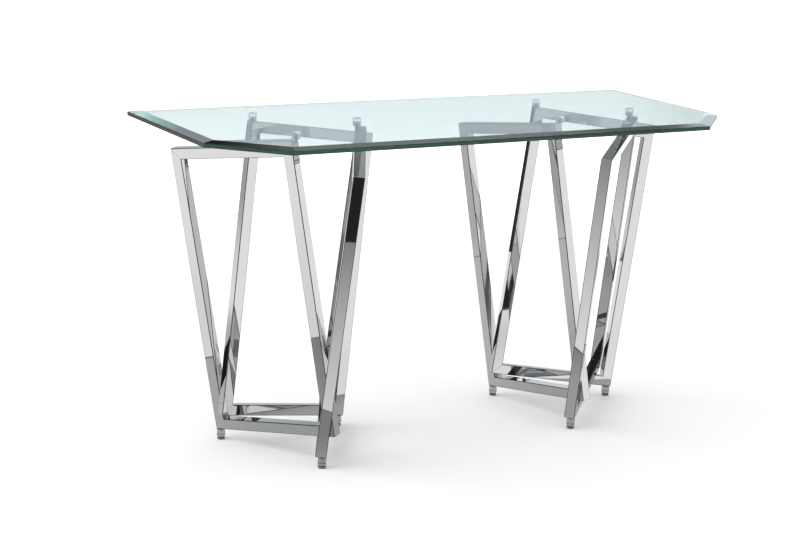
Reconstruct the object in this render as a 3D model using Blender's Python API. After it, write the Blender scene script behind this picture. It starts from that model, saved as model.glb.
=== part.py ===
"""Console table: a bevelled glass top on two chromed pedestals of leaning tube frames.

Metres, +Z up. The origin is on the floor below the middle of the glass, with the length along X
and the front edge, whose corners are clipped, at -Y.
"""

import math

import bmesh
import bpy
from mathutils import Euler, Matrix, Vector

# The glass top
TABLE_HEIGHT = 0.762
GLASS_THICKNESS = 0.0127
GLASS_LENGTH = 1.350
GLASS_DEPTH = 0.560
CORNER_CLIP = 0.138
BEVEL_WIDTH = 0.028
BEVEL_DROP = 0.0035
ARRIS = 0.0006

# One rectangular frame, measured between the centre lines of its tubes
FRAME_WIDTH = 0.2974
FRAME_HEIGHT = 0.6432
FRAME_TILT = math.radians(8.05)
FRAME_LEAN = math.radians(5.46)
FOOT_CORNER_ALONG = -0.1520
FOOT_CORNER_OUT = 0.0663
FOOT_CORNER_HEIGHT = 0.0408
FRAMES = 3

# Square tube
TUBE = 0.0254
TUBE_WALL = 0.0012
TUBE_RADIUS = 0.0016
TUBE_ARC_STEPS = 2

# Where the pedestals stand: middle of the three frames, and the turn of the first frame
PEDESTALS = {
    "left": (-0.351, 0.054, math.radians(-58.1)),
    "right": (0.382, 0.039, math.radians(-76.7)),
}

# Clearance between two pieces that touch
GAP = 0.0003

# Levelling glide, below the start corner of each frame
GLIDE_ALONG = -0.0040
GLIDE_OUT = 0.0020
PAD_RADIUS = 0.0088
PAD_HEIGHT = 0.0060
PAD_FACE_RADIUS = 0.0070
PAD_ROUNDING = 0.0018
NECK_RADIUS = 0.0070
NECK_HEIGHT = 0.0016
SPIGOT_RADIUS = 0.0052
SPIGOT_LENGTH = 0.0035
BARREL_RADIUS = 0.0100
BARREL_TOP = 0.0252
BARREL_EDGE = 0.0008
GROOVE_HEIGHT = 0.0125
GROOVE_WIDTH = 0.0012
GROOVE_DEPTH = 0.0006
STUD_RADIUS = 0.0040
STUD_TOP = 0.0440
STUD_CHAMFER = 0.0008
INSERT_RADIUS = 0.0055
INSERT_TOP = 0.0370
INSERT_CHAMFER = 0.0004

# Bumper and its pin, on the end corner of each frame
BUMPER_ALONG = 0.0075
BUMPER_INWARD = 0.0082
BUMPER_RADIUS = 0.0095
BUMPER_BASE = 0.7311
BUMPER_BORE_RADIUS = 0.0060
BUMPER_ROOF = 0.0082
BUMPER_EDGE = 0.0009
PIN_RADIUS = 0.0040
PIN_CHAMFER = 0.0005

SEGMENTS = 16
CUTTER_SPAN = 0.020
SMOOTH_ANGLE = math.radians(35)

GLASS_UNDERSIDE = TABLE_HEIGHT - GLASS_THICKNESS
HALF_TUBE = TUBE / 2
THIRD_TURN = 2 * math.pi / FRAMES
FRAME_SLANT = Euler((FRAME_LEAN, -FRAME_TILT, 0), "YXZ").to_matrix()
FOOT_CORNER = Vector((FOOT_CORNER_ALONG, -FOOT_CORNER_OUT, FOOT_CORNER_HEIGHT))


def clear_scene():
    for obj in list(bpy.data.objects):
        bpy.data.objects.remove(obj, do_unlink=True)


def material(name, colour, roughness, metallic=0.0, transmission=0.0):
    made = bpy.data.materials.new(name)
    made.use_nodes = True
    shader = made.node_tree.nodes["Principled BSDF"]
    shader.inputs["Base Color"].default_value = (*colour, 1)
    shader.inputs["Roughness"].default_value = roughness
    shader.inputs["Metallic"].default_value = metallic
    shader.inputs["Transmission Weight"].default_value = transmission
    return made


def finish_mesh(form, name):
    """Turns a bmesh into a mesh whose faces point out, with its round parts shaded smooth."""
    bmesh.ops.recalc_face_normals(form, faces=form.faces)
    mesh = bpy.data.meshes.new(name)
    form.to_mesh(mesh)
    form.free()
    mesh.shade_smooth()
    mesh.set_sharp_from_angle(angle=SMOOTH_ANGLE)
    return mesh


def add_object(name, mesh, finish, parent, location=(0, 0, 0), rotation=(0, 0, 0)):
    obj = bpy.data.objects.new(name, mesh)
    bpy.context.scene.collection.objects.link(obj)
    if finish:
        obj.data.materials.clear()
        obj.data.materials.append(finish)
    obj.parent = parent
    obj.location = location
    obj.rotation_euler = rotation
    return obj


def add_empty(name, parent, location=(0, 0, 0), rotation=(0, 0, 0), order="XYZ"):
    empty = bpy.data.objects.new(name, None)
    bpy.context.scene.collection.objects.link(empty)
    empty.parent = parent
    empty.location = location
    empty.rotation_mode = order
    empty.rotation_euler = rotation
    return empty


def bridge(form, rings):
    """Joins each ring of points to the next with quads."""
    for lower, upper in zip(rings, rings[1:]):
        count = len(lower)
        for k in range(count):
            after = (k + 1) % count
            form.faces.new((lower[k], lower[after], upper[after], upper[k]))


def glass_outline(inset, height):
    """The outline of the glass moved in by inset: square back corners, clipped front ones."""
    half_length = GLASS_LENGTH / 2 - inset
    half_depth = GLASS_DEPTH / 2 - inset
    clip = CORNER_CLIP - inset * (2 - math.sqrt(2))
    corners = (
        (-half_length, half_depth),
        (-half_length, -half_depth + clip),
        (-half_length + clip, -half_depth),
        (half_length - clip, -half_depth),
        (half_length, -half_depth + clip),
        (half_length, half_depth),
    )
    return [(x, y, height) for x, y in corners]


def glass_mesh():
    """A flat edge with its two arrises taken off, then the wide bevel up to the top face."""
    bevel_foot = TABLE_HEIGHT - BEVEL_DROP
    layers = (
        (ARRIS, GLASS_UNDERSIDE),
        (0, GLASS_UNDERSIDE + ARRIS),
        (0, bevel_foot - ARRIS),
        (ARRIS, bevel_foot),
        (BEVEL_WIDTH, TABLE_HEIGHT),
    )
    form = bmesh.new()
    rings = [[form.verts.new(p) for p in glass_outline(*layer)] for layer in layers]
    bridge(form, rings)
    form.faces.new(rings[0])
    form.faces.new(rings[-1])
    return finish_mesh(form, "glass_top")


def square_outline(size, radius):
    """A square of the given size with round corners, as (across, outward) points."""
    centre = size / 2 - radius
    points = []
    for corner in range(4):
        start = corner * math.pi / 2
        x_sign = 1 if corner in (0, 3) else -1
        z_sign = 1 if corner in (0, 1) else -1
        for step in range(TUBE_ARC_STEPS + 1):
            angle = start + step / TUBE_ARC_STEPS * math.pi / 2
            across = x_sign * centre + radius * math.cos(angle)
            outward = z_sign * centre + radius * math.sin(angle)
            points.append((across, outward))
    return points


def tube_mesh(name, length):
    """An open square tube along X, its ends mitred at 45 degrees so that the outer side, -Z, is
    the longer one."""
    setback = GAP / 2 * math.sqrt(2)
    outlines = (
        square_outline(TUBE, TUBE_RADIUS),
        square_outline(TUBE - 2 * TUBE_WALL, TUBE_RADIUS - TUBE_WALL),
    )
    form = bmesh.new()
    rings = []
    for outline, ends in zip(outlines, ((-1, 1), (1, -1))):
        for end in ends:
            ring = []
            for across, outward in outline:
                reach = length / 2 + outward - setback
                ring.append(form.verts.new((end * reach, across, -outward)))
            rings.append(ring)
    bridge(form, rings + rings[:1])
    return finish_mesh(form, name)


def turned_mesh(name, profile, closed=False):
    """Turns a profile of (radius, height) points about the Z axis. An open profile starts and
    ends on the axis."""
    form = bmesh.new()
    chain = [form.verts.new((radius, 0, height)) for radius, height in profile]
    edges = [form.edges.new(pair) for pair in zip(chain, chain[1:])]
    if closed:
        edges.append(form.edges.new((chain[-1], chain[0])))
    bmesh.ops.spin(
        form,
        geom=chain + edges,
        cent=(0, 0, 0),
        axis=(0, 0, 1),
        angle=2 * math.pi,
        steps=SEGMENTS,
        use_merge=True,
    )
    bmesh.ops.remove_doubles(form, verts=form.verts, dist=1e-6)
    return finish_mesh(form, name)


def pad_mesh():
    """The pad under a glide, with the neck and spigot that hold it in the barrel."""
    neck_top = PAD_HEIGHT + NECK_HEIGHT
    rounding = PAD_RADIUS - PAD_FACE_RADIUS
    profile = [(0, 0), (PAD_FACE_RADIUS, 0)]
    for degrees in (30, 60, 90):
        angle = math.radians(degrees)
        radius = PAD_FACE_RADIUS + rounding * math.sin(angle)
        profile.append((radius, PAD_ROUNDING * (1 - math.cos(angle))))
    profile += [
        (PAD_RADIUS, PAD_HEIGHT - BARREL_EDGE / 2),
        (PAD_RADIUS - BARREL_EDGE / 2, PAD_HEIGHT),
        (NECK_RADIUS, PAD_HEIGHT),
        (NECK_RADIUS, neck_top),
        (SPIGOT_RADIUS, neck_top),
        (SPIGOT_RADIUS, neck_top + SPIGOT_LENGTH),
        (0, neck_top + SPIGOT_LENGTH),
    ]
    return turned_mesh("glide_pad", profile)


def glide_mesh():
    """The barrel of a glide with its stud, hollowed below for the spigot of the pad."""
    bottom = PAD_HEIGHT + NECK_HEIGHT + GAP
    socket_radius = SPIGOT_RADIUS + GAP
    socket_top = bottom + SPIGOT_LENGTH
    profile = (
        (0, socket_top),
        (socket_radius, socket_top),
        (socket_radius, bottom),
        (BARREL_RADIUS - BARREL_EDGE, bottom),
        (BARREL_RADIUS, bottom + BARREL_EDGE),
        (BARREL_RADIUS, GROOVE_HEIGHT),
        (BARREL_RADIUS - GROOVE_DEPTH, GROOVE_HEIGHT + GROOVE_WIDTH / 2),
        (BARREL_RADIUS, GROOVE_HEIGHT + GROOVE_WIDTH),
        (BARREL_RADIUS, BARREL_TOP - BARREL_EDGE),
        (BARREL_RADIUS - BARREL_EDGE, BARREL_TOP),
        (STUD_RADIUS, BARREL_TOP),
        (STUD_RADIUS, STUD_TOP - STUD_CHAMFER),
        (STUD_RADIUS - STUD_CHAMFER, STUD_TOP),
        (0, STUD_TOP),
    )
    return turned_mesh("glide", profile)


def insert_mesh():
    """The threaded insert in the bottom bar, drawn with a plain bore."""
    bottom = BARREL_TOP + GAP
    bore = STUD_RADIUS + GAP
    profile = (
        (bore, bottom),
        (INSERT_RADIUS - INSERT_CHAMFER, bottom),
        (INSERT_RADIUS, bottom + INSERT_CHAMFER),
        (INSERT_RADIUS, INSERT_TOP - INSERT_CHAMFER),
        (INSERT_RADIUS - INSERT_CHAMFER, INSERT_TOP),
        (bore, INSERT_TOP),
    )
    return turned_mesh("glide_insert", profile, closed=True)


def bumper_mesh():
    """A clear cap, open below, whose roof rests on the pin. Its origin is at its base."""
    top = GLASS_UNDERSIDE - GAP - BUMPER_BASE
    roof = top - BUMPER_ROOF
    profile = (
        (0, roof),
        (BUMPER_BORE_RADIUS - BUMPER_EDGE, roof),
        (BUMPER_BORE_RADIUS, roof - BUMPER_EDGE),
        (BUMPER_BORE_RADIUS, 0),
        (BUMPER_RADIUS - BUMPER_EDGE, 0),
        (BUMPER_RADIUS, BUMPER_EDGE),
        (BUMPER_RADIUS, top - BUMPER_EDGE),
        (BUMPER_RADIUS - BUMPER_EDGE, top),
        (0, top),
    )
    return turned_mesh("bumper", profile)


def pin_mesh():
    """A pin whose foot is cut to the slope of the top bar. Its origin is on its axis, where the
    axis meets the cut."""
    up = FRAME_SLANT.col[2]
    axis_point = bumper_point()
    foot = bar_top_height(axis_point) + GAP / up.z
    top = GLASS_UNDERSIDE - GAP - BUMPER_ROOF - GAP - foot
    profile = (
        (0, 0),
        (PIN_RADIUS, 0),
        (PIN_RADIUS, top - PIN_CHAMFER),
        (PIN_RADIUS - PIN_CHAMFER, top),
        (0, top),
    )
    mesh = turned_mesh("bumper_pin", profile)
    for vertex in mesh.vertices:
        if vertex.co.z < PIN_CHAMFER:
            vertex.co.z = -(up.x * vertex.co.x + up.y * vertex.co.y) / up.z
    return mesh


def frame_point(along, inward, up):
    """A point of the first frame, from its foot corner, in the axes of its pedestal."""
    return FOOT_CORNER + FRAME_SLANT @ Vector((along, inward, up))


def bumper_point():
    """Where the axis of a bumper is, level with the end corner of the first frame."""
    end_corner = frame_point(FRAME_WIDTH, 0, FRAME_HEIGHT)
    return end_corner + Vector((BUMPER_ALONG, BUMPER_INWARD, 0))


def bar_top_height(point):
    """The height of the top bar's upper face above or below a point of the pedestal."""
    up = FRAME_SLANT.col[2]
    on_face = frame_point(0, 0, FRAME_HEIGHT + HALF_TUBE)
    return on_face.z - (up.x * (point.x - on_face.x) + up.y * (point.y - on_face.y)) / up.z


def insert_hole_cutter():
    """The cutter of the hole in a bottom bar's lower wall, with its origin on the floor."""
    form = bmesh.new()
    bmesh.ops.create_cone(
        form,
        cap_ends=True,
        segments=SEGMENTS,
        radius1=INSERT_RADIUS + GAP,
        radius2=INSERT_RADIUS + GAP,
        depth=CUTTER_SPAN,
        matrix=Matrix.Translation((0, 0, FOOT_CORNER_HEIGHT - HALF_TUBE)),
    )
    return finish_mesh(form, "insert_hole")


def add_frame(prefix, centre, turn, meshes, finishes):
    """One rectangular frame of four mitred tubes."""
    place = Matrix.Rotation(turn, 4, "Z") @ FOOT_CORNER
    slant = add_empty(f"{prefix}_slant", centre, place, (FRAME_LEAN, -FRAME_TILT, turn), "YXZ")
    half_width = FRAME_WIDTH / 2
    half_height = FRAME_HEIGHT / 2
    quarter = math.pi / 2
    tubes = {
        "foot_leg": ("leg", 0, half_height, quarter),
        "end_leg": ("leg", FRAME_WIDTH, half_height, -quarter),
        "top_bar": ("bar", half_width, FRAME_HEIGHT, 2 * quarter),
        "bottom_bar": ("bar", half_width, 0, 0),
    }
    made = {}
    for name, (mesh, along, up, roll) in tubes.items():
        made[name] = add_object(
            f"{prefix}_{name}", meshes[mesh], finishes["chrome"], slant, (along, 0, up), (0, roll, 0)
        )
    return made["bottom_bar"]


def add_glide(side, number, upright, bottom_bar, meshes, finishes):
    """A glide with its pad and insert, and the hole for the insert in the bottom bar."""
    place = Vector((FOOT_CORNER.x + GLIDE_ALONG, FOOT_CORNER.y - GLIDE_OUT, 0))
    add_object(f"{side}_glide{number}", meshes["glide"], finishes["satin"], upright, place)
    add_object(f"{side}_glide_pad{number}", meshes["pad"], finishes["grey"], upright, place)
    add_object(f"{side}_glide_insert{number}", meshes["insert"], finishes["zinc"], upright, place)
    cutter = add_object(f"{side}_insert_hole{number}", meshes["hole"], None, upright, place)
    cutter.hide_render = True
    cutter.display_type = "WIRE"
    cut = bottom_bar.modifiers.new("insert_hole", "BOOLEAN")
    cut.operation = "DIFFERENCE"
    cut.solver = "EXACT"
    cut.object = cutter


def add_bumper(side, number, upright, meshes, finishes):
    """A bumper over the pin on the end corner of a frame."""
    axis_point = bumper_point()
    foot = bar_top_height(axis_point) + GAP / FRAME_SLANT.col[2].z
    pin_place = (axis_point.x, axis_point.y, foot)
    bumper_place = (axis_point.x, axis_point.y, BUMPER_BASE)
    add_object(f"{side}_bumper_pin{number}", meshes["pin"], finishes["zinc"], upright, pin_place)
    add_object(f"{side}_bumper{number}", meshes["bumper"], finishes["clear"], upright, bumper_place)


def add_pedestal(side, x, y, turn, meshes, finishes):
    """Three equal frames round one centre, each a third of a turn from the last."""
    centre = add_empty(f"{side}_pedestal", None, (x, y, 0), (0, 0, turn))
    for index in range(FRAMES):
        number = index + 1
        frame_turn = index * THIRD_TURN
        bottom_bar = add_frame(f"{side}_frame{number}", centre, frame_turn, meshes, finishes)
        upright = add_empty(f"{side}_upright{number}", centre, (0, 0, 0), (0, 0, frame_turn))
        add_glide(side, number, upright, bottom_bar, meshes, finishes)
        add_bumper(side, number, upright, meshes, finishes)


def main():
    clear_scene()
    finishes = {
        "glass": material("clear_glass", (0.86, 0.95, 0.93), 0.0, transmission=1.0),
        "chrome": material("polished_chrome", (0.78, 0.79, 0.80), 0.04, metallic=1.0),
        "satin": material("satin_chrome", (0.66, 0.67, 0.68), 0.22, metallic=1.0),
        "zinc": material("zinc_steel", (0.50, 0.51, 0.52), 0.35, metallic=1.0),
        "clear": material("clear_plastic", (0.93, 0.95, 0.95), 0.12, transmission=1.0),
        "grey": material("grey_plastic", (0.42, 0.43, 0.44), 0.45),
    }
    meshes = {
        "leg": tube_mesh("leg", FRAME_HEIGHT),
        "bar": tube_mesh("bar", FRAME_WIDTH),
        "glide": glide_mesh(),
        "pad": pad_mesh(),
        "insert": insert_mesh(),
        "hole": insert_hole_cutter(),
        "bumper": bumper_mesh(),
        "pin": pin_mesh(),
    }
    add_object("glass_top", glass_mesh(), finishes["glass"], None)
    for side, (x, y, turn) in PEDESTALS.items():
        add_pedestal(side, x, y, turn, meshes, finishes)
    bpy.context.view_layer.update()


main()
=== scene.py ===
"""The looks of the console table: clear bevelled glass on polished chrome pedestals."""

import math

import bmesh
import bpy
from mathutils import Matrix, Vector


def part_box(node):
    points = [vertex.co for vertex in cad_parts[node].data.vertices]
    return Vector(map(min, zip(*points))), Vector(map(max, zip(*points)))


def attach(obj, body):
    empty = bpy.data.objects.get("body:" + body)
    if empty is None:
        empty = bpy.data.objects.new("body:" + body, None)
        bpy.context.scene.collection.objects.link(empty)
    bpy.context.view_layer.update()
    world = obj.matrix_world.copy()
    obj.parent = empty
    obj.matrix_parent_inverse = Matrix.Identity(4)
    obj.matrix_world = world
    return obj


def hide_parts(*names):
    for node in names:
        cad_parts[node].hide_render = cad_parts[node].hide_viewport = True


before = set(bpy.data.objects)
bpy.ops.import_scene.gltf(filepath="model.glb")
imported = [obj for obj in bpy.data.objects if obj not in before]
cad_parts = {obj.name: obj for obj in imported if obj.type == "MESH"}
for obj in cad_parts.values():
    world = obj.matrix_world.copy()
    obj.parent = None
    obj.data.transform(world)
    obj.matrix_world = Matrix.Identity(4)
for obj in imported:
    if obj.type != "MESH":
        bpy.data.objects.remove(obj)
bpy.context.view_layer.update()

SIDES = ("left", "right")
NUMBERS = (1, 2, 3)
ROOT = "pedestals"

# Square tube, as in the CAD: outer size, wall, edge radius, and the seam left at a mitre
TUBE = 0.0254
HALF_TUBE = TUBE / 2
WALL = 0.0012
EDGE_RADIUS = 0.0016
EDGE_STEPS = 6
SEAM = 0.0001
CAD_GAP = 0.0003

WELD_RADIUS = 0.0006
WELD_SINK = 0.0004
WELD_STEPS = 10

# Glides, bumpers and their pins: details that the CAD nodes leave out
THREAD_PITCH = 0.00125
THREAD_DEPTH = 0.00075
THREAD_RINGS_PER_TURN = 6
STUD_RADIUS = 0.0040
STUD_SINK = 0.0004
BARREL_ROUNDING = 0.0008
GROOVE_HEIGHT = 0.0050
GROOVE_WIDTH = 0.0013
GROOVE_DEPTH = 0.0007
GROOVE_SLOPE = 0.15
SOCKET_RADIUS = 0.0055
SOCKET_DEPTH = 0.0035
PAD_HEIGHT = 0.0060
PAD_ROUNDING = 0.0016
NECK_RADIUS = 0.0070
SPIGOT_RADIUS = 0.0052
SPIGOT_LENGTH = 0.0035
INSERT_BORE = 0.0043
INSERT_FLANGE_RADIUS = 0.0066
INSERT_FLANGE = 0.0009
SMALL_EDGE = 0.0004
HOLE_RADIUS = 0.0058
BUMPER_BORE = 0.0060
BUMPER_ROOF = 0.0082
BUMPER_ROUNDING = 0.0009
PIN_ROUNDING = 0.0007
PIN_GROOVES = 3
PIN_FIRST_GROOVE = 1.6
PIN_PLAIN_SPACES = 2

ROUND_STEPS = 48
ARC_STEPS = 5
SMALL_ARC_STEPS = 3
GROOVE_ARC_STEPS = 4
MERGE_DISTANCE = 1e-7
SMOOTH_ANGLE = math.radians(30)
FINE_SMOOTH_ANGLE = math.radians(50)

# Where the camera stands, and how it looks at the table
CAMERA_PLACE = (-2.087, -3.351, 1.3825)
CAMERA_TURN = math.radians(-30.48)
CAMERA_PITCH = math.radians(13.958)
CAMERA_ROLL = math.radians(2.38)
CAMERA_LENS = 78.0
SENSOR_WIDTH = 36.0

# The studio: its strength where it is not mirrored, and where its doorway ends
DIRECT_STRENGTH = 1.04
DOORWAY_END = (0.755, -0.656, 0)

# The board under the table and the unlit aisle to the camera, as outlines on the floor
BOARD = ((-1.05, -0.31), (0.86, -0.31), (0.86, 1.0), (-0.175, 1.0), (-0.855, 0.45))
DARK_AISLE = ((-0.40, -0.98), (-0.05, -0.95), (0.18, -2.6), (-1.4, -2.4), (-0.9, -1.25))

# Half the width of the floor and of the lit paper on it, and how high the cards stand
FLOOR_REACH = 40
PAPER_REACH = 38
CARD_BASE = 0.003


# Shader helpers

def new_material(name):
    made = bpy.data.materials.new(name)
    made.use_nodes = True
    tree = made.node_tree
    return made, tree, tree.nodes["Principled BSDF"]


def add_node(tree, kind, **settings):
    node = tree.nodes.new(kind)
    for key, value in settings.items():
        if hasattr(node, key):
            setattr(node, key, value)
        else:
            node.inputs[key.replace("_", " ")].default_value = value
    return node


def colour_sockets(sockets):
    return [socket for socket in sockets if socket.type == "RGBA"]


def noise(tree, scale, detail=2.0, roughness=0.5):
    """A noise in the object's own space, with features of about 1/scale metres."""
    where = add_node(tree, "ShaderNodeTexCoord")
    made = add_node(tree, "ShaderNodeTexNoise", Scale=scale, Detail=detail, Roughness=roughness)
    tree.links.new(where.outputs["Object"], made.inputs["Vector"])
    return made.outputs["Fac"]


def ramp(tree, source, low, high):
    """Maps a noise onto the range from low to high."""
    made = add_node(tree, "ShaderNodeMapRange")
    made.inputs["From Min"].default_value = 0.3
    made.inputs["From Max"].default_value = 0.7
    made.inputs["To Min"].default_value = low
    made.inputs["To Max"].default_value = high
    tree.links.new(source, made.inputs["Value"])
    return made.outputs["Result"]


def bump(tree, shader, layers):
    """Stacks bumps of (height source, distance in metres) on the shader's normal."""
    normal = None
    for source, distance in layers:
        made = add_node(tree, "ShaderNodeBump", Strength=1.0, Distance=distance)
        tree.links.new(source, made.inputs["Height"])
        if normal:
            tree.links.new(normal, made.inputs["Normal"])
        normal = made.outputs["Normal"]
    tree.links.new(normal, shader.inputs["Normal"])


def metal(name, colour, smooth, rough, waviness, grain):
    """A metal with cloudy polish, long waves from forming, and a fine grain."""
    made, tree, shader = new_material(name)
    shader.inputs["Base Color"].default_value = (*colour, 1)
    shader.inputs["Metallic"].default_value = 1.0
    tree.links.new(ramp(tree, noise(tree, 35.0, 4.0, 0.6), smooth, rough), shader.inputs["Roughness"])
    bump(tree, shader, ((noise(tree, 14.0, 1.0), waviness), (noise(tree, 900.0, 2.0), grain)))
    return made


def let_lamps_through(made, tree, shader, tint):
    """Lets the light of lamps through glass, which then casts only a faint shadow."""
    path = add_node(tree, "ShaderNodeLightPath")
    clear = add_node(tree, "ShaderNodeBsdfTransparent")
    clear.inputs["Color"].default_value = (*tint, 1)
    mix = add_node(tree, "ShaderNodeMixShader")
    tree.links.new(path.outputs["Is Shadow Ray"], mix.inputs["Fac"])
    tree.links.new(shader.outputs["BSDF"], mix.inputs[1])
    tree.links.new(clear.outputs["BSDF"], mix.inputs[2])
    tree.links.new(mix.outputs["Shader"], tree.nodes["Material Output"].inputs["Surface"])
    return made


def glass_material():
    """Clear float glass: green where light runs far inside it, and faintly uneven."""
    made, tree, shader = new_material("float_glass")
    shader.inputs["Base Color"].default_value = (1, 1, 1, 1)
    shader.inputs["Transmission Weight"].default_value = 1.0
    shader.inputs["IOR"].default_value = 1.52
    shader.inputs["Roughness"].default_value = 0.0
    bump(tree, shader, ((noise(tree, 3.0, 1.0), 0.00002),))
    absorb = add_node(tree, "ShaderNodeVolumeAbsorption", Density=16.0)
    absorb.inputs["Color"].default_value = (0.34, 0.69, 0.63, 1)
    tree.links.new(absorb.outputs["Volume"], tree.nodes["Material Output"].inputs["Volume"])
    return let_lamps_through(made, tree, shader, (0.96, 0.98, 0.975))


def clear_plastic_material():
    made, tree, shader = new_material("clear_plastic")
    shader.inputs["Base Color"].default_value = (0.80, 0.84, 0.84, 1)
    shader.inputs["Transmission Weight"].default_value = 1.0
    shader.inputs["IOR"].default_value = 1.47
    tree.links.new(ramp(tree, noise(tree, 400.0, 3.0), 0.03, 0.10), shader.inputs["Roughness"])
    bump(tree, shader, ((noise(tree, 600.0, 2.0), 0.00001),))
    return let_lamps_through(made, tree, shader, (0.93, 0.95, 0.95))


def plastic_material():
    """Moulded grey plastic with a fine mould texture."""
    made, tree, shader = new_material("grey_plastic")
    mix = add_node(tree, "ShaderNodeMix", data_type="RGBA")
    colours = colour_sockets(mix.inputs)
    colours[0].default_value = (0.10, 0.10, 0.105, 1)
    colours[1].default_value = (0.14, 0.14, 0.145, 1)
    tree.links.new(noise(tree, 250.0, 4.0), mix.inputs["Factor"])
    tree.links.new(colour_sockets(mix.outputs)[0], shader.inputs["Base Color"])
    tree.links.new(ramp(tree, noise(tree, 500.0, 3.0), 0.35, 0.55), shader.inputs["Roughness"])
    bump(tree, shader, ((noise(tree, 2200.0, 2.0), 0.00003),))
    return made


MATERIALS = {
    "polished_chrome": metal("polished_chrome", (0.75, 0.75, 0.755), 0.01, 0.04, 0.0001, 0.0000006),
    # A darker chrome: painted dark reflections along the tubes' rounded edges, and painted shade in the
    # glides' grooves.
    "painted_dark_chrome": metal("painted_dark_chrome", (0.15, 0.15, 0.155), 0.02, 0.06, 0.00006, 0.0000006),
    "satin_chrome": metal("satin_chrome", (0.74, 0.74, 0.745), 0.05, 0.11, 0.00004, 0.000002),
    "zinc_steel": metal("zinc_steel", (0.26, 0.265, 0.275), 0.22, 0.36, 0.00003, 0.000006),
    "top_glass": glass_material(),
    "clear_plastic": clear_plastic_material(),
    "grey_plastic": plastic_material(),
}


# Mesh helpers

def add_piece(name, form, body, slot, replaced=(), smooth_angle=SMOOTH_ANGLE):
    """Makes a piece from a bmesh, gives it its material, and lets it ride on its body."""
    bmesh.ops.recalc_face_normals(form, faces=form.faces)
    mesh = bpy.data.meshes.new(name)
    form.to_mesh(mesh)
    form.free()
    mesh.shade_smooth()
    mesh.set_sharp_from_angle(angle=smooth_angle)
    mesh.materials.append(MATERIALS[slot])
    piece = bpy.data.objects.new(name, mesh)
    bpy.context.scene.collection.objects.link(piece)
    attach(piece, body)
    if replaced:
        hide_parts(*replaced)
    return piece


def bridge(form, rings):
    faces = []
    for lower, upper in zip(rings, rings[1:]):
        count = len(lower)
        for k in range(count):
            after = (k + 1) % count
            faces.append(form.faces.new((lower[k], lower[after], upper[after], upper[k])))
    return faces


def turned(profile, place, closed=False):
    """A bmesh of a profile of (radius, height) points turned about an upright axis."""
    form = bmesh.new()
    chain = [form.verts.new((radius, 0, height)) for radius, height in profile]
    edges = [form.edges.new(pair) for pair in zip(chain, chain[1:])]
    if closed:
        edges.append(form.edges.new((chain[-1], chain[0])))
    bmesh.ops.spin(
        form,
        geom=chain + edges,
        cent=(0, 0, 0),
        axis=(0, 0, 1),
        angle=2 * math.pi,
        steps=ROUND_STEPS,
        use_merge=True,
    )
    bmesh.ops.remove_doubles(form, verts=form.verts, dist=MERGE_DISTANCE)
    bmesh.ops.translate(form, verts=form.verts, vec=place)
    return form


def rounded(radius, height, size, start, end, steps=ARC_STEPS):
    """Points of (radius, height) on an arc about a centre, from one angle to another."""
    points = []
    for step in range(steps + 1):
        angle = math.radians(start + (end - start) * step / steps)
        points.append((radius + size * math.cos(angle), height + size * math.sin(angle)))
    return points


def threaded(radius, bottom, top, place):
    """A bmesh of a threaded stud whose ridges fade out at both ends."""
    count = round((top - bottom) / THREAD_PITCH * THREAD_RINGS_PER_TURN)
    form = bmesh.new()
    rings = []
    for level in range(count + 1):
        height = bottom + (top - bottom) * level / count
        fade = min(1.0, (height - bottom) / THREAD_PITCH, (top - height) / THREAD_PITCH)
        ring = []
        for step in range(ROUND_STEPS):
            turn = (height / THREAD_PITCH - step / ROUND_STEPS) % 1.0
            here = radius - THREAD_DEPTH * (1 - fade * (1 - abs(2 * turn - 1)))
            angle = 2 * math.pi * step / ROUND_STEPS
            ring.append(form.verts.new((here * math.cos(angle), here * math.sin(angle), height)))
        rings.append(ring)
    bridge(form, rings)
    form.faces.new(rings[0])
    form.faces.new(rings[-1])
    bmesh.ops.translate(form, verts=form.verts, vec=place)
    return form


# The frames, as the CAD placed them

def corners_of(name):
    """The distinct points of a CAD node."""
    points = {tuple(round(c, 6) for c in v.co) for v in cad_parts[name].data.vertices}
    return [Vector(p) for p in points]


def mean(points):
    return sum(points, Vector()) / len(points)


class TubeFrame:
    """One rectangular frame: its foot corner, its two directions, and its size."""

    def __init__(self, side, number):
        self.name = f"{side}_frame{number}"
        foot_leg = corners_of(f"{self.name}_foot_leg")
        end_leg = corners_of(f"{self.name}_end_leg")
        foot_middle = mean(foot_leg)
        end_middle = mean(end_leg)
        upper = mean([p for p in foot_leg if p.z > foot_middle.z])
        lower = mean([p for p in foot_leg if p.z < foot_middle.z])
        self.width = (end_middle - foot_middle).length
        self.height = (upper - lower).length + CAD_GAP * math.sqrt(2)
        self.along = (end_middle - foot_middle).normalized()
        self.up = (upper - lower).normalized()
        self.inward = self.up.cross(self.along)
        self.foot_corner = foot_middle - self.up * self.height / 2

    def point(self, along, inward, up):
        return self.foot_corner + self.along * along + self.inward * inward + self.up * up

    def tubes(self):
        """Each tube's name, middle, direction, outward direction and centre-line length."""
        half_width = self.width / 2
        half_height = self.height / 2
        return (
            ("foot_leg", self.point(0, 0, half_height), self.up, -self.along, self.height),
            ("end_leg", self.point(self.width, 0, half_height), self.up, self.along, self.height),
            ("top_bar", self.point(half_width, 0, self.height), self.along, self.up, self.width),
            ("bottom_bar", self.point(half_width, 0, 0), self.along, -self.up, self.width),
        )


def square_outline(size, radius):
    """A square with round corners, as (across, outward) points."""
    centre = size / 2 - radius
    points = []
    for corner in range(4):
        x_sign = 1 if corner in (0, 3) else -1
        z_sign = 1 if corner in (0, 1) else -1
        for step in range(EDGE_STEPS + 1):
            angle = (corner + step / EDGE_STEPS) * math.pi / 2
            points.append(
                (x_sign * centre + radius * math.cos(angle), z_sign * centre + radius * math.sin(angle))
            )
    return points


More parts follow.
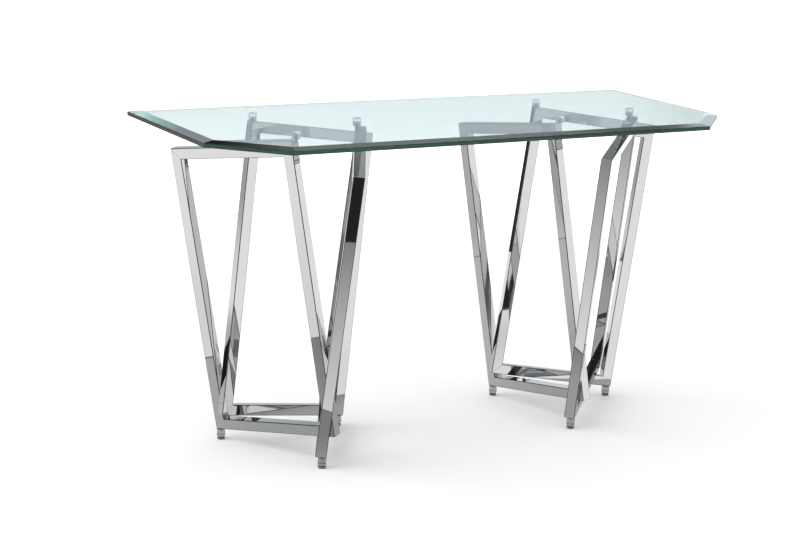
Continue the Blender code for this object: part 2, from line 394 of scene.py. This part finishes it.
def tube_form(middle, direction, outward, length):
    """A bmesh of an open square tube with mitred ends, the longer side outward."""
    across_direction = direction.cross(outward)
    setback = SEAM / 2 * math.sqrt(2)
    outlines = (square_outline(TUBE, EDGE_RADIUS), square_outline(TUBE - 2 * WALL, EDGE_RADIUS - WALL))
    form = bmesh.new()
    rings = []
    for outline, ends in zip(outlines, ((-1, 1), (1, -1))):
        for end in ends:
            ring = []
            for across, out in outline:
                reach = length / 2 + out - setback
                place = middle + direction * end * reach + across_direction * across + outward * out
                ring.append(form.verts.new(place))
            rings.append(ring)
    faces = bridge(form, rings + rings[:1])
    # The rounded edge strips take the second slot, a darker chrome: painted dark reflections along every
    # edge.
    for k, face in enumerate(faces):
        if k % (EDGE_STEPS + 1) != EDGE_STEPS:
            face.material_index = 1
    return form


def weld_form(middle, direction, outward, length):
    """A bmesh of the fine polished weld round the mitre at one end of a tube."""
    across_direction = direction.cross(outward)
    loop = []
    for across, out in square_outline(TUBE - 2 * WELD_SINK, EDGE_RADIUS):
        loop.append(middle + direction * (length / 2 + out) + across_direction * across + outward * out)
    slope = (direction + outward).normalized()
    normal = across_direction.cross(slope)
    form = bmesh.new()
    rings = []
    for k, point in enumerate(loop):
        along = (loop[(k + 1) % len(loop)] - loop[k - 1]).normalized()
        aside = along.cross(normal)
        ring = []
        for step in range(WELD_STEPS):
            angle = 2 * math.pi * step / WELD_STEPS
            spoke = aside * math.cos(angle) + normal * math.sin(angle)
            ring.append(form.verts.new(point + spoke * WELD_RADIUS))
        rings.append(ring)
    bridge(form, rings + rings[:1])
    return form


def add_frame(tube_frame):
    for name, middle, direction, outward, length in tube_frame.tubes():
        node = f"{tube_frame.name}_{name}"
        form = tube_form(middle, direction, outward, length)
        tube = add_piece(f"{node}_tube", form, ROOT, "polished_chrome", (node,))
        # Second slot, for the rounded edges: darker chrome as painted dark reflections.
        tube.data.materials.append(MATERIALS["painted_dark_chrome"])
        flat = tube.modifiers.new("flat_sides", "WEIGHTED_NORMAL")
        flat.keep_sharp = True
        flat.weight = 100
    _, _, top_bar, bottom_bar = tube_frame.tubes()
    ends = (
        ("foot_top", top_bar, -1),
        ("end_top", top_bar, 1),
        ("foot_bottom", bottom_bar, -1),
        ("end_bottom", bottom_bar, 1),
    )
    for name, (_, middle, direction, outward, length), end in ends:
        form = weld_form(middle, direction * end, outward, length)
        add_piece(f"{tube_frame.name}_{name}_weld", form, ROOT, "polished_chrome", (), FINE_SMOOTH_ANGLE)


def round_node(node):
    """The upright axis of a round CAD node, its lowest and highest points, and its radius."""
    low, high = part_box(node)
    return (low.x + high.x) / 2, (low.y + high.y) / 2, low.z, high.z, (high.x - low.x) / 2


def drill(piece, x, y, bottom, top):
    """Cuts an upright round hole through the lower wall of a bar."""
    form = turned(((0, bottom), (HOLE_RADIUS, bottom), (HOLE_RADIUS, top), (0, top)), (x, y, 0))
    bmesh.ops.recalc_face_normals(form, faces=form.faces)
    mesh = bpy.data.meshes.new("drill")
    form.to_mesh(mesh)
    form.free()
    cutter = bpy.data.objects.new("drill", mesh)
    bpy.context.scene.collection.objects.link(cutter)
    cut = piece.modifiers.new("hole", "BOOLEAN")
    cut.solver = "EXACT"
    cut.object = cutter
    bpy.context.view_layer.update()
    seen = piece.evaluated_get(bpy.context.evaluated_depsgraph_get())
    piece.data = bpy.data.meshes.new_from_object(seen)
    piece.data.set_sharp_from_angle(angle=SMOOTH_ANGLE)
    piece.modifiers.remove(cut)
    bpy.data.objects.remove(cutter)


def add_glide(side, number):
    """A glide: its barrel with a groove, and its threaded stud."""
    node = f"{side}_glide{number}"
    body = f"{side}_foot{number}"
    x, y, bottom, top, radius = round_node(node)
    insert_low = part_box(f"{side}_glide_insert{number}")[0].z
    barrel_top = insert_low - CAD_GAP
    groove = bottom + GROOVE_HEIGHT
    edge = radius - BARREL_ROUNDING
    seat = STUD_RADIUS - THREAD_DEPTH
    profile = [(0, bottom + SOCKET_DEPTH), (SOCKET_RADIUS, bottom + SOCKET_DEPTH), (SOCKET_RADIUS, bottom)]
    profile += rounded(edge, bottom + BARREL_ROUNDING, BARREL_ROUNDING, -90, 0)
    profile += [
        (radius, groove),
        (radius - GROOVE_DEPTH, groove + GROOVE_WIDTH * GROOVE_SLOPE),
        (radius - GROOVE_DEPTH, groove + GROOVE_WIDTH * (1 - GROOVE_SLOPE)),
        (radius, groove + GROOVE_WIDTH),
    ]
    profile += rounded(edge, barrel_top - BARREL_ROUNDING, BARREL_ROUNDING, 0, 90)
    profile += [(seat, barrel_top), (0, barrel_top)]
    form = turned(profile, (x, y, 0))
    # The groove's faces take the second slot, a darker chrome: painted shade in the groove.
    for face in form.faces:
        middle = face.calc_center_median()
        if groove < middle.z < groove + GROOVE_WIDTH:
            face.material_index = 1
    barrel = add_piece(f"{node}_barrel", form, body, "satin_chrome", (node,))
    # Second slot: darker chrome for the groove, painted shade.
    barrel.data.materials.append(MATERIALS["painted_dark_chrome"])
    stud = threaded(STUD_RADIUS, barrel_top - STUD_SINK, top, (x, y, 0))
    add_piece(f"{node}_stud", stud, body, "satin_chrome", (node,), FINE_SMOOTH_ANGLE)


def add_glide_pad(side, number):
    """The pad under a glide, with rounded edges, a neck, and a spigot up into the barrel."""
    node = f"{side}_glide_pad{number}"
    x, y, bottom, top, radius = round_node(node)
    neck_top = top - SPIGOT_LENGTH
    edge = radius - PAD_ROUNDING
    profile = [(0, bottom)]
    profile += rounded(edge, bottom + PAD_ROUNDING, PAD_ROUNDING, -90, 0)
    profile += rounded(
        radius - SMALL_EDGE, bottom + PAD_HEIGHT - SMALL_EDGE, SMALL_EDGE, 0, 90, SMALL_ARC_STEPS
    )
    profile += [
        (NECK_RADIUS, bottom + PAD_HEIGHT),
        (NECK_RADIUS, neck_top),
        (SPIGOT_RADIUS, neck_top),
    ]
    profile += rounded(
        SPIGOT_RADIUS - SMALL_EDGE, top - SMALL_EDGE, SMALL_EDGE, 0, 90, SMALL_ARC_STEPS
    )
    profile.append((0, top))
    form = turned(profile, (x, y, 0))
    add_piece(f"{node}_moulding", form, f"{side}_foot{number}", "grey_plastic", (node,))


def add_glide_insert(side, number):
    """The threaded insert in the bottom bar, with a thin flange under the bar's wall."""
    node = f"{side}_glide_insert{number}"
    x, y, bottom, top, radius = round_node(node)
    flange_top = bottom + INSERT_FLANGE
    profile = [(INSERT_BORE, bottom)]
    profile += rounded(
        INSERT_FLANGE_RADIUS - SMALL_EDGE, bottom + SMALL_EDGE, SMALL_EDGE, -90, 0, SMALL_ARC_STEPS
    )
    profile += [(INSERT_FLANGE_RADIUS, flange_top), (radius, flange_top)]
    profile += rounded(radius - SMALL_EDGE, top - SMALL_EDGE, SMALL_EDGE, 0, 90, SMALL_ARC_STEPS)
    profile.append((INSERT_BORE, top))
    form = turned(profile, (x, y, 0), closed=True)
    add_piece(f"{node}_collar", form, ROOT, "zinc_steel", (node,))
    drill(bpy.data.objects[f"{side}_frame{number}_bottom_bar_tube"], x, y, bottom, top)


def add_bumper(side, number):
    """A clear bumper, a cap open below that sits over its pin."""
    node = f"{side}_bumper{number}"
    x, y, bottom, top, radius = round_node(node)
    roof = top - BUMPER_ROOF
    lip = BUMPER_ROUNDING / 2
    profile = [(0, roof)]
    profile += rounded(BUMPER_BORE - BUMPER_ROUNDING, roof - BUMPER_ROUNDING, BUMPER_ROUNDING, 90, 0)
    profile += rounded(BUMPER_BORE + lip, bottom + lip, lip, 180, 270, SMALL_ARC_STEPS)
    profile += rounded(radius - BUMPER_ROUNDING, bottom + BUMPER_ROUNDING, BUMPER_ROUNDING, -90, 0)
    profile += rounded(radius - BUMPER_ROUNDING, top - BUMPER_ROUNDING, BUMPER_ROUNDING, 0, 90)
    profile.append((0, top))
    form = turned(profile, (x, y, 0))
    add_piece(f"{node}_cap", form, ROOT, "clear_plastic", (node,))


def add_bumper_pin(side, number):
    """A grooved pin whose foot is cut to the slope of the top bar that it is welded to."""
    node = f"{side}_bumper_pin{number}"
    x, y, _, top, radius = round_node(node)
    standing = FRAMES[side, number]
    up = standing.up
    on_face = standing.foot_corner + up * (standing.height + HALF_TUBE)
    foot = on_face.z - (up.x * (x - on_face.x) + up.y * (y - on_face.y)) / up.z
    profile = [(0, foot), (radius, foot)]
    clear = (top - foot) / (PIN_GROOVES + PIN_PLAIN_SPACES)
    for groove in range(PIN_GROOVES):
        height = foot + clear * (groove + PIN_FIRST_GROOVE)
        profile += rounded(radius, height, PIN_ROUNDING / 2, -90, -270, GROOVE_ARC_STEPS)
    profile += rounded(radius - PIN_ROUNDING, top - PIN_ROUNDING, PIN_ROUNDING, 0, 90)
    profile.append((0, top))
    form = turned(profile, (x, y, 0))
    for vertex in form.verts:
        if abs(vertex.co.z - foot) < CAD_GAP:
            vertex.co.z -= (up.x * (vertex.co.x - x) + up.y * (vertex.co.y - y)) / up.z
    add_piece(f"{node}_post", form, ROOT, "zinc_steel", (node,))


FRAMES = {(side, number): TubeFrame(side, number) for side in SIDES for number in NUMBERS}
for (side, number), tube_frame in FRAMES.items():
    add_frame(tube_frame)
    add_glide(side, number)
    add_glide_pad(side, number)
    add_glide_insert(side, number)
    add_bumper(side, number)
    add_bumper_pin(side, number)


glass_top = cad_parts["glass_top"]
glass_top.data.materials.clear()
glass_top.data.materials.append(MATERIALS["top_glass"])


# The studio

def emission_material(name, strength):
    """A glowing material whose strength is a number, or built from places by a function."""
    made = bpy.data.materials.new(name)
    made.use_nodes = True
    tree = made.node_tree
    tree.nodes.remove(tree.nodes["Principled BSDF"])
    glow = add_node(tree, "ShaderNodeEmission")
    if callable(strength):
        tree.links.new(strength(tree), glow.inputs["Strength"])
    else:
        glow.inputs["Strength"].default_value = strength
    tree.links.new(glow.outputs["Emission"], tree.nodes["Material Output"].inputs["Surface"])
    return made


def combined(tree, operation, first, second):
    made = add_node(tree, "ShaderNodeMath", operation=operation)
    tree.links.new(first, made.inputs[0])
    tree.links.new(second, made.inputs[1])
    return made.outputs["Value"]


def graded(tree, source, start, end, low, high):
    """Goes smoothly from low to high as the source goes from start to end."""
    made = add_node(tree, "ShaderNodeMapRange", interpolation_type="SMOOTHSTEP")
    made.inputs["From Min"].default_value = start
    made.inputs["From Max"].default_value = end
    made.inputs["To Min"].default_value = low
    made.inputs["To Max"].default_value = high
    tree.links.new(source, made.inputs["Value"])
    return made.outputs["Result"]


def measured(tree, space, operation, vector):
    """A dot product or distance between a place, or a direction of the world, and a vector."""
    where = add_node(tree, "ShaderNodeTexCoord")
    made = add_node(tree, "ShaderNodeVectorMath", operation=operation)
    made.inputs[1].default_value = vector
    tree.links.new(where.outputs[space], made.inputs[0])
    return made.outputs["Value"]


def distance_from(tree, place):
    return measured(tree, "Object", "DISTANCE", place)


def along_axis(tree, axis):
    return measured(tree, "Object", "DOT_PRODUCT", axis)


def scaled(tree, source, low, high):
    """Maps a source from 0 to 1 onto the range from low to high."""
    made = add_node(tree, "ShaderNodeMapRange")
    made.inputs["To Min"].default_value = low
    made.inputs["To Max"].default_value = high
    tree.links.new(source, made.inputs["Value"])
    return made.outputs["Result"]


def paper_glow(tree):
    """The lit paper: dimmer towards the camera's stand and far behind, brightest at the right."""
    camera_side = graded(tree, distance_from(tree, (-1.0, -1.5, 0)), -0.3, 1.9, 0.0, 0.95)
    behind = graded(tree, along_axis(tree, (0, 1, 0)), 1.5, 7.0, 1.0, 0.45)
    left = graded(tree, distance_from(tree, (-1.05, 1.2, 0)), 0.5, 1.2, 0.55, 1.0)
    right = graded(tree, distance_from(tree, (2.7, 1.6, 0)), 0.2, 1.6, 1.35, 1.0)
    shaded = graded(tree, distance_from(tree, (1.55, 0.75, 0)), 0.05, 0.35, 0.58, 1.0)
    glow = combined(tree, "MULTIPLY", camera_side, behind)
    for factor in (left, right, shaded):
        glow = combined(tree, "MULTIPLY", glow, factor)
    return glow


def board_glow(tree):
    """The grey board that the table stands on, darkest at its front left corner."""
    corner = graded(tree, along_axis(tree, (0.25, 1, 0)), -0.36, -0.16, 0.26, 0.41)
    back = graded(tree, along_axis(tree, (0, 1, 0)), 0.0, 0.35, 1.0, 1.4)
    return combined(tree, "MULTIPLY", corner, back)


def add_card(name, corners, strength):
    """A flat card of light or dark, given by its corners, that only reflections see."""
    form = bmesh.new()
    form.faces.new([form.verts.new(corner) for corner in corners])
    mesh = bpy.data.meshes.new(name)
    form.to_mesh(mesh)
    form.free()
    mesh.materials.append(emission_material(name, strength))
    card = bpy.data.objects.new(name, mesh)
    bpy.context.scene.collection.objects.link(card)
    card.visible_camera = False
    card.visible_diffuse = False
    card.visible_shadow = False
    card.visible_transmission = False
    card.visible_volume_scatter = False


def add_standing_card(name, middle, facing, width, height, strength):
    """A card that stands on the floor and faces a compass angle, 0 along +Y."""
    angle = math.radians(facing)
    aside = Vector((math.cos(angle), -math.sin(angle), 0)) * width / 2
    foot = Vector((*middle, CARD_BASE))
    rise = Vector((0, 0, height))
    add_card(name, (foot - aside, foot + aside, foot + aside + rise, foot - aside + rise), strength)


def add_floor_card(name, outline, height, strength):
    add_card(name, [(x, y, height) for x, y in outline], strength)


def widened(outline, margin):
    """An outline moved out from its middle by about the margin."""
    middle = sum((Vector(point) for point in outline), Vector((0, 0))) / len(outline)
    return [Vector(point) + (Vector(point) - middle).normalized() * margin for point in outline]


def add_floor():
    """White paper that glows beyond the table, where the photo shows it bright through the glass."""
    form = bmesh.new()
    bmesh.ops.create_grid(form, x_segments=1, y_segments=1, size=FLOOR_REACH)
    mesh = bpy.data.meshes.new("floor")
    form.to_mesh(mesh)
    form.free()
    made, tree, shader = new_material("floor_paper")
    shader.inputs["Base Color"].default_value = (0.88, 0.88, 0.88, 1)
    shader.inputs["Roughness"].default_value = 0.8
    shader.inputs["Specular IOR Level"].default_value = 0.0
    shader.inputs["Emission Color"].default_value = (1, 1, 1, 1)
    beyond = graded(tree, along_axis(tree, (0, 1, 0)), 1.6, 2.8, 0.0, 0.58)
    tree.links.new(beyond, shader.inputs["Emission Strength"])
    mesh.materials.append(made)
    floor = bpy.data.objects.new("floor", mesh)
    bpy.context.scene.collection.objects.link(floor)


def world_graded(tree, axis, start, end, low, high):
    """Goes from low to high as a direction of the world turns towards an axis."""
    return graded(tree, measured(tree, "Generated", "DOT_PRODUCT", axis), start, end, low, high)


def elevation_graded(tree, up, start, end, low, high):
    """Goes from low to high between two elevations in degrees."""
    return graded(tree, up, math.sin(math.radians(start)), math.sin(math.radians(end)), low, high)


def reflected_strength(tree, up, behind):
    """How bright the studio is in reflections: its ceiling, doorway, window and back wall."""
    ceiling = elevation_graded(tree, up, 15.5, 23, 0.83, 0.07)
    high_right = elevation_graded(tree, up, 22, 28, 0.75, 0.07)
    right = world_graded(tree, (0.914, -0.407, 0), -0.04, 0.05, 0.0, 1.0)
    ceiling = combined(tree, "MAXIMUM", ceiling, combined(tree, "MULTIPLY", high_right, right))
    overhead = elevation_graded(tree, up, 50, 60, 0.0, 0.9)
    ceiling = combined(tree, "MAXIMUM", ceiling, overhead)

    doorway = world_graded(tree, (0.799, -0.602, 0), 0.0, 0.06, 1.0, 0.5)
    past_doorway = world_graded(tree, DOORWAY_END, 0.0, 0.03, 0.0, 1.0)
    below_doorway = elevation_graded(tree, up, 4, 7, 1.0, 0.0)
    beside_doorway = combined(tree, "MAXIMUM", past_doorway, below_doorway)
    doorway = combined(tree, "MAXIMUM", doorway, beside_doorway)
    ceiling = combined(tree, "MULTIPLY", ceiling, doorway)

    horizon = elevation_graded(tree, up, 3, 10, 1.15, 1.0)
    camera_side = world_graded(tree, (-0.5, -0.866, 0), 0.90, 0.97, 1.0, 0.05)

    window_start = world_graded(tree, DOORWAY_END, 0.0, 0.025, 0.0, 1.0)
    window_end = world_graded(tree, (0.695, -0.719, 0), 0.0, 0.05, 1.0, 0.0)
    in_window = combined(tree, "MULTIPLY", window_start, window_end)
    beside_window = combined(tree, "SUBTRACT", behind, in_window)
    level = elevation_graded(tree, up, 12, 15, 1.0, 0.0)
    wall = scaled(tree, combined(tree, "MULTIPLY", beside_window, level), 1.0, 0.60)
    window = scaled(tree, in_window, 1.0, 1.7)

    strength = combined(tree, "MULTIPLY", combined(tree, "MULTIPLY", ceiling, horizon), camera_side)
    strength = combined(tree, "MULTIPLY", strength, wall)
    return combined(tree, "MULTIPLY", strength, window)


def tinted_white(tree, up, behind, in_reflection):
    """White, but bluish high behind the table in reflections, and greenish higher for all rays."""
    high = elevation_graded(tree, up, 5, 9, 0.0, 1.0)
    tinted = combined(tree, "MULTIPLY", high, behind)
    blue = add_node(tree, "ShaderNodeMix", data_type="RGBA")
    colours = colour_sockets(blue.inputs)
    colours[0].default_value = (1.0, 1.0, 1.0, 1)
    colours[1].default_value = (0.88, 0.97, 1.07, 1)
    tree.links.new(combined(tree, "MULTIPLY", in_reflection, tinted), blue.inputs["Factor"])
    highest = elevation_graded(tree, up, 17, 19, 0.0, 1.0)
    green = add_node(tree, "ShaderNodeMix", data_type="RGBA")
    colours = colour_sockets(green.inputs)
    tree.links.new(colour_sockets(blue.outputs)[0], colours[0])
    colours[1].default_value = (0.84, 1.0, 0.96, 1)
    tree.links.new(combined(tree, "MULTIPLY", tinted, highest), green.inputs["Factor"])
    return colour_sockets(green.outputs)[0]


def add_world():
    """A pale studio whose ceiling, and the side the camera stands on, reflect darker."""
    world = bpy.data.worlds.new("studio")
    bpy.context.scene.world = world
    world.use_nodes = True
    tree = world.node_tree
    where = add_node(tree, "ShaderNodeTexCoord")
    split = add_node(tree, "ShaderNodeSeparateXYZ")
    tree.links.new(where.outputs["Generated"], split.inputs["Vector"])
    up = split.outputs["Z"]
    behind = world_graded(tree, (0.515, 0.857, 0), 0.90, 0.95, 0.0, 1.0)
    in_reflection = add_node(tree, "ShaderNodeLightPath").outputs["Is Glossy Ray"]
    mix = add_node(tree, "ShaderNodeMix")
    mix.inputs["A"].default_value = DIRECT_STRENGTH
    tree.links.new(in_reflection, mix.inputs["Factor"])
    tree.links.new(reflected_strength(tree, up, behind), mix.inputs["B"])
    background = tree.nodes["Background"]
    tree.links.new(tinted_white(tree, up, behind, in_reflection), background.inputs["Color"])
    tree.links.new(mix.outputs["Result"], background.inputs["Strength"])


def add_sun(toward, energy, spread):
    """A very large soft lamp, so far off that it lights the whole floor alike."""
    lamp = bpy.data.lights.new("softbox", "SUN")
    lamp.energy = energy
    lamp.angle = math.radians(spread)
    obj = bpy.data.objects.new("softbox", lamp)
    bpy.context.scene.collection.objects.link(obj)
    obj.rotation_euler = Vector(toward).to_track_quat("-Z", "Y").to_euler()
    obj.visible_glossy = False


def add_camera():
    data = bpy.data.cameras.new("camera")
    data.lens = CAMERA_LENS
    data.sensor_width = SENSOR_WIDTH
    camera = bpy.data.objects.new("camera", data)
    bpy.context.scene.collection.objects.link(camera)
    turn = Matrix.Rotation(CAMERA_TURN, 4, "Z")
    tip = Matrix.Rotation(math.pi / 2 - CAMERA_PITCH, 4, "X")
    roll = Matrix.Rotation(CAMERA_ROLL, 4, "Z")
    camera.matrix_world = Matrix.Translation(CAMERA_PLACE) @ turn @ tip @ roll
    bpy.context.scene.camera = camera


add_floor()
add_world()
add_sun((1.15, -0.35, -1.0), 1.25, 50)
paper = [(x * PAPER_REACH, y * PAPER_REACH) for x, y in ((-1, -1), (1, -1), (1, 1), (-1, 1))]
add_floor_card("lit_paper", paper, 0.0015, paper_glow)
add_floor_card("dark_aisle", DARK_AISLE, 0.002, 0.04)
# A dark rim round the board, seen only in reflections: a painted shadow line at the board's edge.
add_floor_card("board_edge_painted_shadow", widened(BOARD, 0.012), 0.0025, 0.20)
add_floor_card("board", BOARD, 0.003, board_glow)
add_standing_card("camera_flag", (-0.80, -1.06), -150, 1.0, 2.3, 0.02)
add_standing_card("dark_curtain", (-0.5, -2.5), -172, 1.7, 2.3, 0.02)
add_standing_card("dark_backdrop", (-0.37, 2.75), 0, 1.38, 0.9, 0.03)
add_camera()
scene = bpy.context.scene
scene.view_settings.view_transform = "Standard"
scene.cycles.max_bounces = 24
scene.cycles.glossy_bounces = 20
scene.cycles.transmission_bounces = 20
